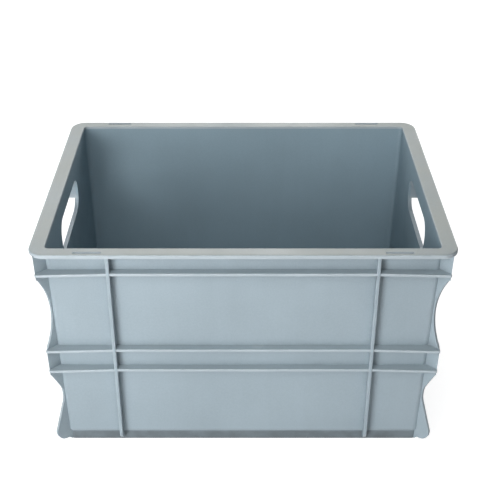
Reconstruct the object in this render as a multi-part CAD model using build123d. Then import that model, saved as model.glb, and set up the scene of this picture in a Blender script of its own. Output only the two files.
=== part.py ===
"""Stacking plastic crate, 400 x 300 x 236 mm: an open-topped box with a wide flat rim, three thin
flanges round its outside, upright ribs, scalloped webs at the corners and a hand hole in each end.

The real crate is one moulding. Each node here is one named region of it: the regions meet face to
face and never overlap. Millimetres, +Z up, +X along the length, the front faces -Y, and the origin
is on the ground at the middle of the base.
"""
from build123d import *
from math import radians, sqrt, tan
import os

# ---- driving dimensions -------------------------------------------------------------------------
LENGTH = 400.0            # over the rim, along X
WIDTH = 300.0             # over the rim, along Y
HEIGHT = 236.0            # ground to rim top
WALL = 2.5                # thickness of the walls
DRAFT = radians(1.0)      # the tub narrows downwards by this angle
RIM_OVERHANG_X = 12.3     # end wall's outer face at the rim to the lip's outer face
RIM_OVERHANG_Y = 10.5     # the same on the long sides
RIM_PLATE = 2.6           # thickness of the rim's flat top
RIM_LIP = 4.4             # height of the rim's outer lip
RIM_CORNER = 16.0         # plan radius of the rim's outer corners
TUB_CORNER = 7.0          # plan radius of the tub's outer corners
FLANGE_INSET_X = 5.1      # rim's outer face to the ribs' outer edge at rim height, at the ends
FLANGE_INSET_Y = 2.5      # the same on the long sides, between the upright ribs
FLANGE_FLARE = 2.7        # further out than that at the corners of the long sides
FLANGE = 3.0              # thickness of a flange
FLANGE_CORNER = 1.5       # plan radius of a flange's corners
FLANGE_DROPS = {"upper": 23.5, "middle": 112.6, "lower": 137.2}   # rim top to a flange's mid-plane
RIB = 3.3                 # thickness of an upright rib
RIB_PROUD = 0.4           # how far an upright rib stands out past the flanges
RIB_ROOT = 21.0           # rib's outer edge to its inner edge, which is cut away by the tub
LONG_RIB_X = 126.4        # upright ribs of the long sides, from the middle
END_RIB_Y = 98.0          # upright ribs of the end walls, from the middle
WEB = 2.6                 # thickness of a corner web
WEB_INSET = 0.5           # web's outer edge back from the flanges' outer edge
WEB_CLEAR = 1.3           # web left standing off the tub at the deepest point of a scallop
SCALLOP_START = 4.5       # underside of a flange to the start of the scallop below it
SCALLOP_DEEP = (167.5, 180.3)   # rim top to the upper and lower end of the lower scallop's bottom
SCALLOP_END = 217.0       # rim top to the lower end of the lower scallop
SCALLOP_BEND = 24.0       # radius of the lower scallop's two bends
WEB_TOE = 16.8            # reach of the web's toe, from the axis of the tub's rounded corner
RIB_END_RADIUS = 14.0     # round at the bottom of an upright rib
RIB_END_HEIGHT = 17.4     # height at which that round starts
WEB_END_RADIUS = 13.0     # round at the bottom of a corner web's toe
WEB_END_HEIGHT = 17.0     # height at which that round starts
FOOT = 12.5               # height of the stacking foot
FOOT_STEP = 1.8           # wall's outer face to the foot's, at the top of the foot
FOOT_TAPER = 0.4          # how much further in the foot's face is at the ground
FOOT_WALL = 2.9           # thickness of the foot ring at its top
FLOOR = 3.0               # thickness of the floor
HOLE_LENGTH = 110.0       # hand hole, along Y
HOLE_HEIGHT = 36.0        # hand hole, along Z
HOLE_DROP = 22.0          # rim top to the top of the hand hole
HOLE_CORNER = 16.0        # corner radius of the hand hole
FRAME_WALL = 3.0          # thickness of the flange round a hand hole
FRAME_DROP = 27.0         # how far down from the top of the hole that flange has its full depth
SILL_DEPTH = 4.0          # depth of the rest of the hole's edge, from the wall's inner face
SLOT_LENGTH = 26.5        # lid slots in the long rim rails
SLOT_WIDTH = 3.4
SLOT_X = 144.6            # middle of a lid slot
SLOT_Y = 145.3
FLOOR_RIB = 2.0           # thickness of the ribs under the floor
FLOOR_RIB_GAP = 2.0       # ground to the underside of those ribs
FLOOR_RIBS_ALONG = (-88.0, -44.0, 0.0, 44.0, 88.0)                # their Y
FLOOR_RIBS_ACROSS = (-135.0, -90.0, -45.0, 0.0, 45.0, 90.0, 135.0)   # their X
EDGE = 0.8                # small round on exposed edges
RIM_EDGE = 1.5            # larger round on the rim's outer top edge

# ---- worked out from them -----------------------------------------------------------------------
TUB_X = LENGTH / 2 - RIM_OVERHANG_X      # outer half length of the tub at the rim
TUB_Y = WIDTH / 2 - RIM_OVERHANG_Y       # outer half width of the tub at the rim
FLANGE_X = LENGTH / 2 - FLANGE_INSET_X   # reach of the ribs at rim height
FLANGE_Y = WIDTH / 2 - FLANGE_INSET_Y
MITRE = TUB_X - TUB_Y                    # corners lie on |x| - |y| = MITRE
WALL_TOP = HEIGHT - RIM_PLATE
BIG = 2 * LENGTH                         # larger than the crate, for cutting solids
ENDS = {"left": -1, "right": 1}
LONG_SIDES = {"front": -1, "rear": 1}
SIDES = list(LONG_SIDES) + list(ENDS)


def shrink(z):
    """How far the drafted tub has narrowed on each side at height z."""
    return (HEIGHT - z) * tan(DRAFT)


def frustum(low, high, low_inset, high_inset):
    """A solid between two rounded rectangles, each inset from the tub's outline at the rim."""
    ends = []
    for z, inset in ((low, low_inset), (high, high_inset)):
        outline = RectangleRounded(2 * (TUB_X - inset), 2 * (TUB_Y - inset), TUB_CORNER - WALL)
        ends.append(Pos(0, 0, z) * outline)
    return loft(ends, ruled=True)


def tub(low, high, inset=0.0):
    """The drafted outer shape of the tub between two heights, or its inner shape with inset WALL."""
    ends = []
    for z in (low, high):
        x, y = TUB_X - inset - shrink(z), TUB_Y - inset - shrink(z)
        ends.append(Pos(0, 0, z) * RectangleRounded(2 * x, 2 * y, TUB_CORNER - inset))
    return loft(ends, ruled=True)


def block(x0, x1, y0, y1, z0, z1):
    """A box between two corners."""
    centre = Pos((x0 + x1) / 2, (y0 + y1) / 2, (z0 + z1) / 2)
    return centre * Box(abs(x1 - x0), abs(y1 - y0), abs(z1 - z0))


def slab(length, width, radius, low, high):
    """A flat plate with rounded corners between two heights."""
    return Pos(0, 0, low) * extrude(RectangleRounded(length, width, radius), high - low)


def sector(side):
    """The part of space that belongs to one side when the ring round the crate is mitred."""
    if side in LONG_SIDES:
        sign = LONG_SIDES[side]
        far = MITRE + BIG
        points = [(-MITRE, 0), (MITRE, 0), (far, sign * BIG), (-far, sign * BIG)]
    else:
        sign = ENDS[side]
        points = [(sign * MITRE, 0), (sign * (MITRE + BIG), -BIG), (sign * (MITRE + BIG), BIG)]
    return Pos(0, 0, -BIG / 2) * extrude(make_face(Polyline(*points, close=True)), BIG)


def edges_at(solid, z):
    """The level edges of a solid at one height."""
    return [e for e in solid.edges() if abs(e.bounding_box().min.Z - z) < 1e-4
            and abs(e.bounding_box().max.Z - z) < 1e-4]


# ---- rim ----------------------------------------------------------------------------------------
def rim_ring():
    """The flat rim with its down-turned lip, and the lid slots through its long rails."""
    base = HEIGHT - RIM_LIP
    ring = slab(LENGTH, WIDTH, RIM_CORNER, base, HEIGHT)
    ring = fillet(edges_at(ring, HEIGHT), RIM_EDGE)
    ring = fillet(edges_at(ring, base), EDGE)
    opening = slab(2 * (TUB_X - WALL), 2 * (TUB_Y - WALL), TUB_CORNER - WALL, base, HEIGHT)
    lip = WALL - EDGE / 2
    channel = slab(LENGTH - 2 * lip, WIDTH - 2 * lip, RIM_CORNER - lip, base, WALL_TOP)
    ring = ring - opening - channel
    mouth = []
    for edge in edges_at(ring, HEIGHT):
        middle = edge.position_at(0.5)
        if abs(middle.X) < TUB_X and abs(middle.Y) < TUB_Y:
            mouth.append(edge)
    ring = fillet(mouth, EDGE)
    for x in (-SLOT_X, SLOT_X):
        for y in (-SLOT_Y, SLOT_Y):
            slot = RectangleRounded(SLOT_LENGTH, SLOT_WIDTH, EDGE)
            ring -= Pos(x, y, WALL_TOP - 1) * extrude(slot, RIM_PLATE + 2)
    return ring


# ---- walls, floor and foot ----------------------------------------------------------------------
def hand_hole(sign, grow=0.0, depth=BIG):
    """The rounded opening of one hand hole, as a bar along X that starts at the middle plane."""
    middle = HEIGHT - HOLE_DROP - HOLE_HEIGHT / 2
    outline = RectangleRounded(HOLE_LENGTH + 2 * grow, HOLE_HEIGHT + 2 * grow, HOLE_CORNER + grow)
    plane = Plane(origin=(0, 0, middle), x_dir=(0, 1, 0), z_dir=(1, 0, 0))
    bar = extrude(plane * outline, depth)
    return bar if sign > 0 else mirror(bar, Plane.YZ)


def walls():
    """Four flat walls and the four rounded corners that join them."""
    outer = tub(FOOT, WALL_TOP)
    shell = fillet(edges_at(outer, FOOT), FOOT_STEP) - tub(FOOT, WALL_TOP, WALL)
    split_x = TUB_X - TUB_CORNER - shrink(FOOT)
    split_y = TUB_Y - TUB_CORNER - shrink(FOOT)
    nodes = {}
    for name, sign in LONG_SIDES.items():
        cut = block(-split_x, split_x, 0, sign * BIG, 0, HEIGHT)
        nodes[f"{name}_wall"] = shell & cut
    for name, sign in ENDS.items():
        cut = block(0, sign * BIG, -split_y, split_y, 0, HEIGHT)
        nodes[f"{name}_end_wall"] = (shell & cut) - hand_hole(sign)
    for end, sx in ENDS.items():
        for side, sy in LONG_SIDES.items():
            cut = block(sx * split_x, sx * BIG, sy * split_y, sy * BIG, 0, HEIGHT)
            nodes[f"wall_corner_{side}_{end}"] = shell & cut
    return nodes


def foot_body():
    """The outer shape of the foot, which drops inside the rim of the crate below."""
    top = shrink(FOOT) + FOOT_STEP
    return frustum(0, FOOT, top + FOOT_TAPER, top)


def foot_ring():
    """The low wall under the edge of the floor that the crate stands on."""
    inset = shrink(FOOT) + FOOT_STEP + FOOT_WALL
    inner = slab(2 * (TUB_X - inset), 2 * (TUB_Y - inset), TUB_CORNER - WALL, 0, FOOT)
    return foot_body() - inner, inner


def floor_parts(inner):
    """The floor inside the foot ring, and the grid of crossing ribs under it."""
    low = FOOT - FLOOR
    reach_x, reach_y = inner.bounding_box().max.X, inner.bounding_box().max.Y
    half = FLOOR_RIB / 2
    grid = Part()
    for x in FLOOR_RIBS_ACROSS:
        grid += block(x - half, x + half, -reach_y, reach_y, FLOOR_RIB_GAP, low)
    for y in FLOOR_RIBS_ALONG:
        grid += block(-reach_x, reach_x, y - half, y + half, FLOOR_RIB_GAP, low)
    return {"floor": inner & block(-BIG, BIG, -BIG, BIG, low, FOOT), "floor_rib_grid": grid}


# ---- ribs ---------------------------------------------------------------------------------------
def rib_outline(z, inset=0.0, corner=0.0):
    """Plan outline that flanges and webs reach at height z: its long sides flare at the corners."""
    back = shrink(z) + inset
    x, y = FLANGE_X - back, FLANGE_Y - back
    flared = y + FLANGE_FLARE
    front = [(-x, -flared), (-LONG_RIB_X, -y), (LONG_RIB_X, -y), (x, -flared)]
    rear = [(-px, -py) for px, py in front]
    outline = make_face(Polyline(*front, *rear, close=True))
    if corner:
        ends = [v for v in outline.vertices() if abs(v.X) > TUB_Y]
        outline = fillet(ends, corner)
    return outline


def flange_ring(drop, body):
    """One thin flange round the tub, with softened edges."""
    low, high = HEIGHT - drop - FLANGE / 2, HEIGHT - drop + FLANGE / 2
    ring = Pos(0, 0, low) * extrude(rib_outline(HEIGHT - drop, corner=FLANGE_CORNER), FLANGE)
    ring = fillet(edges_at(ring, low) + edges_at(ring, high), EDGE)
    return ring - body


def upright_rib(plane, reach):
    """An upright rib in a plane whose x is the distance from the crate's middle and y is up.

    Its outer edge leans in with the tub and is softened, down to the round at the bottom.
    """
    inner = reach - RIB_ROOT
    start = (reach - shrink(RIB_END_HEIGHT), RIB_END_HEIGHT)
    end = (start[0] - RIB_END_RADIUS, RIB_END_HEIGHT - RIB_END_RADIUS)
    with BuildSketch() as profile:
        with BuildLine():
            Line((inner, WALL_TOP), (reach, WALL_TOP))
            Line((reach, WALL_TOP), start)
            RadiusArc(start, end, RIB_END_RADIUS)
            Line(end, (inner, end[1]))
            Line((inner, end[1]), (inner, WALL_TOP))
        make_face()
    rib = extrude(profile.sketch, RIB / 2, both=True)
    outermost = reach - RIB_END_RADIUS / 2
    sides = [e for e in rib.edges() if abs(e.center().Z) > EDGE and e.center().X > outermost]
    return plane * fillet(sides, EDGE)


def upright_ribs(body):
    """Two upright ribs on each long side and two on each end wall."""
    nodes = {}
    for side, sy in LONG_SIDES.items():
        for end, sx in ENDS.items():
            plane = Plane(origin=(sx * LONG_RIB_X, 0, 0), x_dir=(0, sy, 0), z_dir=(sy, 0, 0))
            nodes[f"{side}_rib_{end}"] = upright_rib(plane, FLANGE_Y + RIB_PROUD) - body
    for end, sx in ENDS.items():
        for side, sy in LONG_SIDES.items():
            plane = Plane(origin=(0, sy * END_RIB_Y, 0), x_dir=(sx, 0, 0), z_dir=(0, -sx, 0))
            nodes[f"{end}_end_rib_{side}"] = upright_rib(plane, FLANGE_X + RIB_PROUD) - body
    return nodes


def web_profile():
    """A corner web's outline: x is the distance from the axis of the tub's corner, y is up.

    Its upper part is cut to the ribs' outline afterwards, so there it starts well outside.
    """
    level = {name: HEIGHT - drop for name, drop in FLANGE_DROPS.items()}
    upper = level["upper"] - FLANGE / 2 - SCALLOP_START
    middle = level["middle"] + FLANGE / 2
    lower = level["lower"] - FLANGE / 2 - SCALLOP_START

    def deep(z):
        return TUB_CORNER + WEB_CLEAR - sqrt(2) * shrink(z)

    def edge(z):
        return sqrt(2) * (FLANGE_X - WEB_INSET - shrink(z) - (TUB_X - TUB_CORNER))

    def outside(z):
        return (edge(z) + FLANGE_INSET_X, z)

    bottom, bend = [(deep(HEIGHT - drop), HEIGHT - drop) for drop in SCALLOP_DEEP]
    between = (upper + middle) / 2
    low = (edge(lower), lower)
    end = (WEB_TOE, HEIGHT - SCALLOP_END)
    turn = (WEB_TOE, WEB_END_HEIGHT)
    heel = (turn[0] - WEB_END_RADIUS, WEB_END_HEIGHT - WEB_END_RADIUS)
    with BuildSketch() as profile:
        with BuildLine():
            Line((-TUB_CORNER, WALL_TOP), outside(WALL_TOP))
            Line(outside(WALL_TOP), outside(upper))
            Line(outside(upper), (edge(upper), upper))
            ThreePointArc((edge(upper), upper), (deep(between), between), (edge(middle), middle))
            Line((edge(middle), middle), outside(middle))
            Line(outside(middle), outside(lower))
            Line(outside(lower), low)
            FilletPolyline(low, bottom, bend, end, radius=SCALLOP_BEND)
            Line(end, turn)
            RadiusArc(turn, heel, WEB_END_RADIUS)
            Polyline(heel, (0, 0), (-TUB_CORNER, 0), (-TUB_CORNER, WALL_TOP))
        make_face()
    return profile.sketch


def corner_webs(body, rings):
    """The four upright diagonal webs, each with two scallops and a toe, clear of the rings.

    Above the lower scallop they are cut to the ribs' outline.
    """
    deepest = HEIGHT - SCALLOP_DEEP[0]
    ends = [Pos(0, 0, z) * rib_outline(z, WEB_INSET) for z in (deepest, WALL_TOP)]
    reach = loft(ends, ruled=True) + block(-BIG, BIG, -BIG, BIG, 0, deepest)
    profile = web_profile()
    slope = sqrt(0.5)
    nodes = {}
    for end, sx in ENDS.items():
        for side, sy in LONG_SIDES.items():
            centre = (sx * (TUB_X - TUB_CORNER), sy * (TUB_Y - TUB_CORNER), 0)
            plane = Plane(origin=centre, x_dir=(sx * slope, sy * slope, 0),
                          z_dir=(sy * slope, -sx * slope, 0))
            web = extrude(plane * profile, WEB / 2, both=True)
            nodes[f"corner_web_{side}_{end}"] = (web & reach) - body - rings
    return nodes


def hand_hole_frame(sign, inner_face):
    """The flange round a hand hole: deep over its upper part, shallow along the sill."""
    frame = hand_hole(sign, FRAME_WALL, FLANGE_X) - hand_hole(sign)
    notch_top = HEIGHT - HOLE_DROP - FRAME_DROP
    sill_x = TUB_X - WALL - shrink(notch_top) + SILL_DEPTH
    notch = block(sign * sill_x, sign * BIG, -BIG, BIG, 0, notch_top)
    return frame - notch - inner_face


def build():
    """Every node, by name."""
    outer = tub(FOOT, WALL_TOP)
    foot, inner = foot_ring()
    solid_foot = foot_body()
    body = outer + solid_foot
    nodes = walls()
    nodes.update(floor_parts(inner))
    ring = rim_ring()
    for side in SIDES:
        nodes[f"foot_{side}"] = foot & sector(side)
        nodes[f"rim_{side}"] = ring & sector(side)
    uprights = upright_ribs(body)
    frames = {f"hand_hole_frame_{end}": hand_hole_frame(sign, outer) for end, sign in ENDS.items()}
    holes = [hand_hole(sign, FRAME_WALL) for sign in ENDS.values()]
    flanges = {level: flange_ring(drop, body) for level, drop in FLANGE_DROPS.items()}
    nodes.update(corner_webs(body, [ring, *flanges.values()]))
    for level, flange in flanges.items():
        for cutter in list(uprights.values()) + holes:
            flange -= cutter
        for side in SIDES:
            nodes[f"{side}_flange_{level}"] = flange & sector(side)
    nodes.update(uprights)
    nodes.update(frames)
    return nodes


os.makedirs("parts", exist_ok=True)
for name, shape in build().items():
    export_step(shape, f"parts/{name}.step")
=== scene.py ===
"""Stacking plastic crate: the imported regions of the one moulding, given moulded plastic materials.

Metres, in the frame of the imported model: +X along the length, the front faces -Y, +Z up, and the
ground is at z = 0.
"""
import math

import bmesh
import bpy
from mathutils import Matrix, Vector

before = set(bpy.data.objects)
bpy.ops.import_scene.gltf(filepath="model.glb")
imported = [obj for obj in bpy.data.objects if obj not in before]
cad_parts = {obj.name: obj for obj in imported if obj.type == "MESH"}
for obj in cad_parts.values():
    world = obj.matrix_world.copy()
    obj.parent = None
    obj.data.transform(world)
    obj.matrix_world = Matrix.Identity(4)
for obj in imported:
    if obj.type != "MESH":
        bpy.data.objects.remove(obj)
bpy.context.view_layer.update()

MM = 0.001

# ---- the plastic's look -------------------------------------------------------------------------
PLASTIC = (0.315, 0.385, 0.430)      # grey-blue polypropylene, linear
PAINTED_SHADE = (0.075, 0.090, 0.098)        # painted shade: the dark colour laid into creases and onto the foot
SCUFF_AND_HIGHLIGHT = (0.520, 0.570, 0.600)        # plastic whitened by rubbing; also the painted highlight on narrow upright faces
DUST_AND_TOP_LIGHT = (0.400, 0.400, 0.320)         # dusting together with a painted warm top light, on faces that look up
INNER_SHADE_TONE = (0.275, 0.372, 0.430)         # darker, bluer tone: painted shade on the inner faces of the tub
IOR = 1.49

# Grains per metre of each noise.
CLOUD = 7.0            # broad clouding of the colour
SWELL = 9.0            # slight waviness of the moulded faces
SCRATCH_PATCH = 11.0   # patches that are scratched
DUST_PATCH = 16.0
GLOSS = 24.0           # patches of more and less gloss
STREAK = 35.0          # painted highlight along narrow upright faces, streaked
FOOT_BLOTCH = 38.0
FLOW = 42.0            # flow marks, drawn out upwards
CREASE = 55.0          # breaks up the painted shade in creases
RUB = 90.0             # breaks up the wear on edges
SPECK = 620.0          # pigment specks
HAIR = 900.0           # hairline scratches, drawn out sideways
GRAIN = 1500.0         # spark-eroded grain of the mould

MID = (0.3, 0.7)       # the range most of a noise lies in
CREASE_REACH = 9 * MM  # how far from a corner the painted shade in creases reaches
FOOT_SHADE_TOP = (9 * MM, 13 * MM)    # heights between which the painted shade on the foot fades out
INNER_FACE = (-60 * MM, -20 * MM)   # a face's distance from the middle, minus if it looks inwards
SWELL_HEIGHT = 1.2 * MM
GRAIN_HEIGHT = 0.05 * MM
SCRATCH_DEPTH = 0.04 * MM


class Tree:
    """A small helper that adds nodes to one material and joins them up."""

    def __init__(self, material):
        self.nodes = material.node_tree.nodes
        self.links = material.node_tree.links

    def add(self, kind, inputs=(), **settings):
        """A new node, with its settings and its inputs: sockets are linked, values are set."""
        node = self.nodes.new(kind)
        for key, value in settings.items():
            setattr(node, key, value)
        for key, value in dict(inputs).items():
            if isinstance(value, bpy.types.NodeSocket):
                self.links.new(value, node.inputs[key])
            else:
                node.inputs[key].default_value = value
        return node

    def maths(self, operation, *values, clamp=False):
        """The result of one Math node."""
        return self.add("ShaderNodeMath", enumerate(values), operation=operation,
                        use_clamp=clamp).outputs[0]

    def ramp(self, value, low, high, to_low=0.0, to_high=1.0):
        """value mapped smoothly from low..high to to_low..to_high, and held there beyond."""
        inputs = {"Value": value, "From Min": low, "From Max": high,
                  "To Min": to_low, "To Max": to_high}
        return self.add("ShaderNodeMapRange", inputs, interpolation_type="SMOOTHSTEP").outputs[0]

    def noise(self, vector, scale, detail=2.0, rough=0.5, distort=0.0):
        """Noise from 0 to 1 at a number of grains per metre."""
        inputs = {"Vector": vector, "Scale": scale, "Detail": detail, "Roughness": rough,
                  "Distortion": distort}
        return self.add("ShaderNodeTexNoise", inputs).outputs["Fac"]

    def stretched(self, vector, x, y, z):
        """Coordinates scaled along each axis, so that a texture on them is drawn out."""
        return self.add("ShaderNodeMapping", {"Vector": vector, "Scale": (x, y, z)}).outputs[0]

    def mix(self, factor, first, second, blend="MIX"):
        """Two colours mixed by a factor."""
        node = self.add("ShaderNodeMix", data_type="RGBA", blend_type=blend)
        for socket, value in ((0, factor), (6, first), (7, second)):
            if isinstance(value, bpy.types.NodeSocket):
                self.links.new(value, node.inputs[socket])
            else:
                node.inputs[socket].default_value = value if socket == 0 else (*value, 1.0)
        return node.outputs[2]


def moulded_plastic(name, wear=0.5, crease_shade=0.35, dust_and_top_light=0.0, foot=0.0, edge_face_highlight=0.0,
                    upright_edges=False, shade_inner_faces=False):
    """Satin moulded polypropylene: fine spark-eroded grain, flow marks and rubbed edges, with
    painted shade and light.

    wear whitens the rounded edges, and edge_face_highlight paints a highlight on the narrow upright
    faces between them. grime paints shade into the creases, dust warms and lightens the faces that
    look up, partly as dusting and partly as a painted warm top light, and foot paints shade on what
    is close to the ground. With sheltered the faces turned towards the crate's middle get a darker,
    bluer painted shade. All of it is laid out in the crate's own coordinates, so that it runs on
    from one region to the next.
    """
    material = bpy.data.materials.new(name)
    material.use_nodes = True
    t = Tree(material)
    t.nodes.clear()
    place = t.add("ShaderNodeTexCoord").outputs["Object"]
    normal = t.add("ShaderNodeNewGeometry").outputs["Normal"]
    xyz = t.add("ShaderNodeSeparateXYZ", {0: place})
    facing = t.add("ShaderNodeSeparateXYZ", {0: normal})
    level = t.maths("ABSOLUTE", facing.outputs["Z"])

    cloud = t.noise(place, CLOUD, 3.0, 0.55)
    flow = t.noise(t.stretched(place, 1.0, 1.0, 0.10), FLOW, 3.0, 0.6, 0.4)
    speck = t.noise(place, SPECK, 2.0, 0.7)
    grain = t.noise(place, GRAIN, 3.0, 0.6)

    tone = t.ramp(cloud, *MID, 0.955, 1.04)
    tone = t.maths("MULTIPLY", tone, t.ramp(flow, *MID, 0.985, 1.015))
    tone = t.maths("MULTIPLY", tone, t.ramp(speck, *MID, 0.975, 1.025))
    shade = t.add("ShaderNodeCombineXYZ", {0: tone, 1: tone, 2: tone}).outputs[0]
    plastic = PLASTIC
    # Painted shade inside the tub: faces turned towards the middle get a darker, bluer tone.
    if shade_inner_faces:
        outwards = t.maths("ADD",
                           t.maths("MULTIPLY", facing.outputs["X"], xyz.outputs["X"]),
                           t.maths("MULTIPLY", facing.outputs["Y"], xyz.outputs["Y"]))
        plastic = t.mix(t.ramp(outwards, *INNER_FACE, 1.0, 0.0), PLASTIC, INNER_SHADE_TONE)
    colour = t.mix(1.0, plastic, shade, "MULTIPLY")

    # Dusting plus painted warm top light on faces that look up.
    if dust_and_top_light:
        up = t.ramp(facing.outputs["Z"], 0.55, 0.98)
        patch = t.ramp(t.noise(place, DUST_PATCH, 4.0, 0.6), 0.25, 0.75, 0.55, 1.0)
        colour = t.mix(t.maths("MULTIPLY", t.maths("MULTIPLY", up, patch), dust_and_top_light), colour, DUST_AND_TOP_LIGHT)

    # Painted shade: creases and corners darkened by ambient occlusion, where shade falls.
    open_air = t.add("ShaderNodeAmbientOcclusion", {"Distance": CREASE_REACH}, samples=6)
    crease_shade_mask = t.maths("MULTIPLY", t.ramp(open_air.outputs["AO"], 0.35, 0.95, 1.0, 0.0),
                     t.ramp(t.noise(place, CREASE, 4.0, 0.65), *MID, 0.35, 1.0))
    colour = t.mix(t.maths("MULTIPLY", crease_shade_mask, crease_shade), colour, PAINTED_SHADE)
    # Painted shade near the ground: the foot darkened up to about 13 mm, broken into blotches.
    if foot:
        near_ground = t.ramp(xyz.outputs["Z"], *FOOT_SHADE_TOP, 1.0, 0.0)
        blotch = t.ramp(t.noise(place, FOOT_BLOTCH, 4.0, 0.6), *MID, 0.75, 1.0)
        colour = t.mix(t.maths("MULTIPLY", t.maths("MULTIPLY", near_ground, blotch), foot),
                       colour, PAINTED_SHADE)

    turned = t.maths("MULTIPLY", t.ramp(level, 0.12, 0.45), t.ramp(level, 0.80, 0.985, 1.0, 0.0))
    if upright_edges:
        across = t.maths("MULTIPLY", t.maths("ABSOLUTE", facing.outputs["X"]),
                         t.maths("ABSOLUTE", facing.outputs["Y"]))
        turned = t.maths("MAXIMUM", turned, t.ramp(across, 0.10, 0.40))
    rubbed = t.ramp(t.noise(place, RUB, 5.0, 0.7), 0.38, 0.66, 0.25, 1.0)
    worn = t.maths("MULTIPLY", t.maths("MULTIPLY", turned, rubbed), wear)
    hair = t.noise(t.stretched(place, 0.05, 0.05, 1.0), HAIR, 1.0, 0.5, 0.2)
    where = t.ramp(t.noise(place, SCRATCH_PATCH, 2.0), 0.52, 0.72)
    scratch = t.maths("MULTIPLY", t.ramp(hair, 0.70, 0.76), where)
    wear_and_highlight = t.maths("MAXIMUM", worn, t.maths("MULTIPLY", scratch, 0.30 * wear), clamp=True)
    # Painted highlight on the narrow upright faces of the lip and flange edges, streaked.
    if edge_face_highlight:
        upright = t.ramp(level, 0.30, 0.80, edge_face_highlight, 0.0)
        streaks = t.ramp(t.noise(place, STREAK, 3.0, 0.6), *MID, 0.70, 1.0)
        wear_and_highlight = t.maths("MAXIMUM", wear_and_highlight, t.maths("MULTIPLY", upright, streaks), clamp=True)
    colour = t.mix(wear_and_highlight, colour, SCUFF_AND_HIGHLIGHT)

    rough = t.ramp(t.noise(place, GLOSS, 4.0, 0.6), *MID, 0.37, 0.47)
    rough = t.maths("ADD", rough, t.maths("MULTIPLY", wear_and_highlight, 0.12))
    rough = t.maths("ADD", rough, t.maths("MULTIPLY", crease_shade_mask, 0.15), clamp=True)

    swell = t.noise(place, SWELL, 1.0)
    bump = t.add("ShaderNodeBump", {"Height": swell, "Strength": 0.35, "Distance": SWELL_HEIGHT})
    bump = t.add("ShaderNodeBump", {"Height": grain, "Strength": 0.30, "Distance": GRAIN_HEIGHT,
                                    "Normal": bump.outputs[0]})
    bump = t.add("ShaderNodeBump", {"Height": scratch, "Strength": 0.25,
                                    "Distance": SCRATCH_DEPTH, "Normal": bump.outputs[0]},
                 invert=True)

    surface = t.add("ShaderNodeBsdfPrincipled", {
        "Base Color": colour, "Roughness": rough, "Normal": bump.outputs[0], "IOR": IOR})
    t.add("ShaderNodeOutputMaterial", {"Surface": surface.outputs[0]})
    return material


FINISHES = {
    "wall": moulded_plastic("crate_wall_plastic", wear=0.35, crease_shade=0.30, shade_inner_faces=True),
    "rim": moulded_plastic("crate_rim_plastic", wear=0.60, crease_shade=0.30, dust_and_top_light=0.50, edge_face_highlight=0.55),
    "flange": moulded_plastic("crate_flange_plastic", wear=0.70, crease_shade=0.12, dust_and_top_light=0.10,
                              edge_face_highlight=0.50),
    "rib": moulded_plastic("crate_rib_plastic", wear=0.50, crease_shade=0.35, upright_edges=True),
    "web": moulded_plastic("crate_web_plastic", wear=0.55, crease_shade=0.45),
    "floor": moulded_plastic("crate_floor_plastic", wear=0.40, crease_shade=0.40, dust_and_top_light=0.20),
    "foot": moulded_plastic("crate_foot_plastic", wear=0.60, crease_shade=0.40, foot=0.80),
}


def finish_for(node):
    """Which finish a region of the moulding has, from its name."""
    for word, finish in (("rim_", "rim"), ("flange", "flange"), ("foot_", "foot"),
                         ("floor", "floor"), ("_rib_", "rib"), ("web", "web"),
                         ("frame", "web")):
        if word in node:
            return FINISHES[finish]
    return FINISHES["wall"]


for name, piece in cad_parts.items():
    for holder in piece.material_slots:
        holder.material = finish_for(name)

# ---- stage: a plain pale floor and backdrop -------------------------------------------------------
FLOOR_REACH = 6.0
FLOOR_GAP = 0.5 * MM                 # the bounce floor lies this far under the one that is seen
PAPER = (0.45, 0.80)                 # tint and glow of the floor that is seen
BACKDROP = (0.0, 1.0)
BOUNCE = (0.86, 0.0)                 # the floor that lights the crate from below


def stage_piece(name, tint, glow, shape):
    """One matt stage surface, with its own tint and a little light of its own."""
    mesh = bpy.data.meshes.new(name)
    form = bmesh.new()
    shape(form)
    form.to_mesh(mesh)
    form.free()
    thing = bpy.data.objects.new(name, mesh)
    bpy.context.scene.collection.objects.link(thing)
    material = bpy.data.materials.new(name)
    material.use_nodes = True
    surface = material.node_tree.nodes["Principled BSDF"]
    surface.inputs["Base Color"].default_value = (tint, tint, tint, 1.0)
    surface.inputs["Roughness"].default_value = 0.95
    surface.inputs["Specular IOR Level"].default_value = 0.0
    surface.inputs["Emission Color"].default_value = (1.0, 1.0, 1.0, 1.0)
    surface.inputs["Emission Strength"].default_value = glow
    mesh.materials.append(material)
    return thing


def flat(form):
    """A large level sheet on the ground."""
    bmesh.ops.create_grid(form, x_segments=2, y_segments=2, size=FLOOR_REACH)


def dome(form):
    """A large ball round the whole stage."""
    bmesh.ops.create_uvsphere(form, u_segments=48, v_segments=24, radius=FLOOR_REACH)


paper = stage_piece("stage_paper", *PAPER, flat)
backdrop = stage_piece("stage_backdrop", *BACKDROP, dome)
for thing in (paper, backdrop):
    thing.visible_diffuse = False
    thing.visible_glossy = False
    thing.visible_shadow = False
bounce = stage_piece("stage_floor", *BOUNCE, flat)
bounce.location.z = -FLOOR_GAP
bounce.visible_camera = False

# ---- soft studio light --------------------------------------------------------------------------
TARGET = Vector((0.0, 0.0, 0.12))
LAMP_SPREAD = 0.41                   # side of a lamp, as a share of its distance


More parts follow.
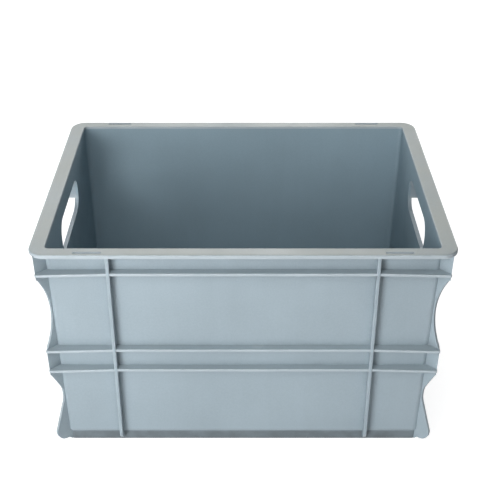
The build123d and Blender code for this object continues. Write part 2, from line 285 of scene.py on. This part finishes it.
def soft_light(name, azimuth, elevation, distance, power):
    """A square area light aimed at the crate. Azimuth 0 is in front and 90 is to the right."""
    lamp = bpy.data.lights.new(name, "AREA")
    lamp.shape = "SQUARE"
    lamp.size = LAMP_SPREAD * distance
    lamp.energy = power
    thing = bpy.data.objects.new(name, lamp)
    bpy.context.scene.collection.objects.link(thing)
    a, e = math.radians(azimuth), math.radians(elevation)
    away = Vector((math.sin(a) * math.cos(e), -math.cos(a) * math.cos(e), math.sin(e)))
    thing.location = TARGET + away * distance
    thing.rotation_mode = "QUATERNION"
    thing.rotation_quaternion = away.to_track_quat("Z", "Y")
    thing.visible_camera = False
    return thing


LIGHTS = (                           # azimuth, elevation, distance in metres, power in watts
    ("key", -30, 12, 1.3, 9.9),
    ("key_upper", -30, 35, 1.6, 4.2),
    ("front_fill", 0, 35, 2.2, 6.0),
    ("front_high", 0, 60, 2.2, 8.5),
    ("back_right", 150, 12, 2.2, 14.0),
    ("back_upper", 180, 35, 2.2, 15.0),
    ("back_left", -150, 35, 2.2, 6.5),
    ("back_high", 180, 60, 2.2, 2.0),
    ("back_low", -150, 12, 2.2, 9.0),
)
for name, azimuth, elevation, distance, power in LIGHTS:
    soft_light(name, azimuth, elevation, distance, power)

WORLD_STRENGTH = 0.01
world = bpy.data.worlds.new("studio")
bpy.context.scene.world = world
world.use_nodes = True
sky = world.node_tree.nodes["Background"]
sky.inputs["Color"].default_value = (1.0, 1.0, 1.0, 1.0)
sky.inputs["Strength"].default_value = WORLD_STRENGTH

# ---- camera -------------------------------------------------------------------------------------
SENSOR_WIDTH = 36.0
LENS = 71.31
SHIFT_X = 0.0135
CAMERA_PLACE = (0.0, -0.9248, 0.7107)
CAMERA_TILT = math.radians(58.82)    # up from looking straight down
camera = bpy.data.objects.new("camera", bpy.data.cameras.new("camera"))
bpy.context.scene.collection.objects.link(camera)
camera.data.sensor_width = SENSOR_WIDTH
camera.data.lens = LENS
camera.data.shift_x = SHIFT_X
camera.location = CAMERA_PLACE
camera.rotation_euler = (CAMERA_TILT, 0.0, 0.0)
bpy.context.scene.camera = camera
bpy.context.scene.view_settings.view_transform = "Standard"
